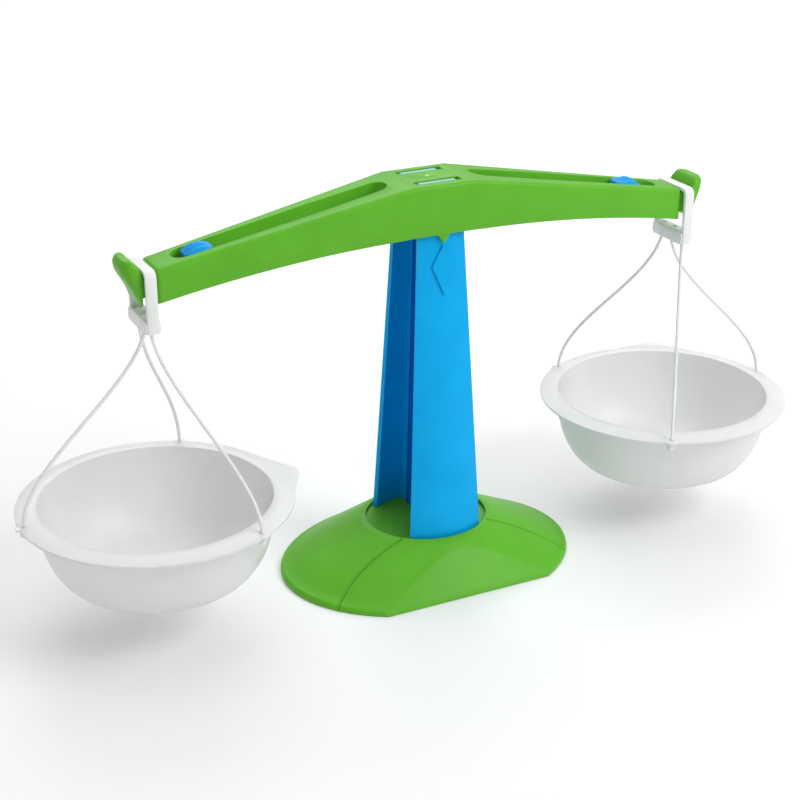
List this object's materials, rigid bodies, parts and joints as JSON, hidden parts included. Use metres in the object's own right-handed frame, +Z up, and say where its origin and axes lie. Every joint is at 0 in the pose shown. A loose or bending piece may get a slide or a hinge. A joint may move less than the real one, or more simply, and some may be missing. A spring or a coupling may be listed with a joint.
{
  "type": "pan balance",
  "caption": "Moulded classroom pan balance: tilting beam with zero sliders on a tapered column, hanging bowls on moulded strands, oval domed base, pointer.",
  "frame": {"origin": "on the table, under the middle of the column, with the beam level", "axes": "+X along the beam to the right as seen from the pointer side, -Y towards the pointer side, +Z up"},
  "size_m": [0.5298, 0.165, 0.256],
  "materials": {
    "green_plastic": "smooth moulded plastic, bright green, soft sheen",
    "beam_green_plastic": "smooth moulded plastic, bright green, soft sheen",
    "column_blue_plastic": "smooth moulded plastic, bright blue, soft sheen",
    "slider_blue_plastic": "smooth moulded plastic, bright blue, ribbed on top",
    "white_nylon": "white moulded plastic, satin",
    "milky_plastic": "milky translucent plastic, smooth",
    "pale_acetal": "pale plastic bearing, satin",
    "steel": "bright plain steel",
    "grey_rubber": "dark matt rubber"
  },
  "bodies": {
    "stand": {"base": "green_plastic", "foot_front_left": "grey_rubber", "foot_front_right": "grey_rubber", "foot_rear_left": "grey_rubber", "foot_rear_right": "grey_rubber", "column": "column_blue_plastic", "column_screw_front": "steel", "column_screw_rear": "steel", "bearing_front": "pale_acetal", "bearing_rear": "pale_acetal"},
    "beam": {"beam": "beam_green_plastic", "pivot_pin": "steel"},
    "left_slider": {"left_slider": "slider_blue_plastic", "left_slider_keeper": "slider_blue_plastic"},
    "right_slider": {"right_slider": "slider_blue_plastic", "right_slider_keeper": "slider_blue_plastic"},
    "left_hanger": {"left_hanger": "white_nylon"},
    "right_hanger": {"right_hanger": "white_nylon"},
    "left_pan": {"left_bowl": "milky_plastic", "left_strand_front": "white_nylon", "left_strand_outer": "white_nylon", "left_strand_rear": "white_nylon"},
    "right_pan": {"right_bowl": "milky_plastic", "right_strand_front": "white_nylon", "right_strand_outer": "white_nylon", "right_strand_rear": "white_nylon"}
  },
  "joints": [
    {"name": "beam_tilt", "type": "hinge", "parent": "stand", "child": "beam", "pos_m": [0, 0, 0.2462], "axis": [0, 1, 0], "range_deg": [-8.5, 8.5]},
    {"name": "left_slide", "type": "slide", "parent": "beam", "child": "left_slider", "axis": [-0.9837, 0, -0.1798], "range_m": [-0.103, 0.005]},
    {"name": "right_slide", "type": "slide", "parent": "beam", "child": "right_slider", "axis": [0.9837, 0, -0.1798], "range_m": [-0.097, 0.011]},
    {"name": "left_hanger_swing", "type": "hinge", "parent": "beam", "child": "left_hanger", "pos_m": [-0.1804, 0, 0.2254], "axis": [0, 1, 0], "range_deg": [-8.5, 8.5]},
    {"name": "right_hanger_swing", "type": "hinge", "parent": "beam", "child": "right_hanger", "pos_m": [0.1804, 0, 0.2254], "axis": [0, 1, 0], "range_deg": [-8.5, 8.5]},
    {"name": "left_pan_swing", "type": "hinge", "parent": "left_hanger", "child": "left_pan", "pos_m": [-0.1804, 0, 0.1963], "axis": [0, 1, 0], "range_deg": [-7.5, 7.5]},
    {"name": "right_pan_swing", "type": "hinge", "parent": "right_hanger", "child": "right_pan", "pos_m": [0.1804, 0, 0.1963], "axis": [0, 1, 0], "range_deg": [-7.5, 7.5]}
  ],
  "couplings": [
    {"joint": "left_hanger_swing", "follows": "beam_tilt", "ratio": -1},
    {"joint": "right_hanger_swing", "follows": "beam_tilt", "ratio": -1}
  ]
}
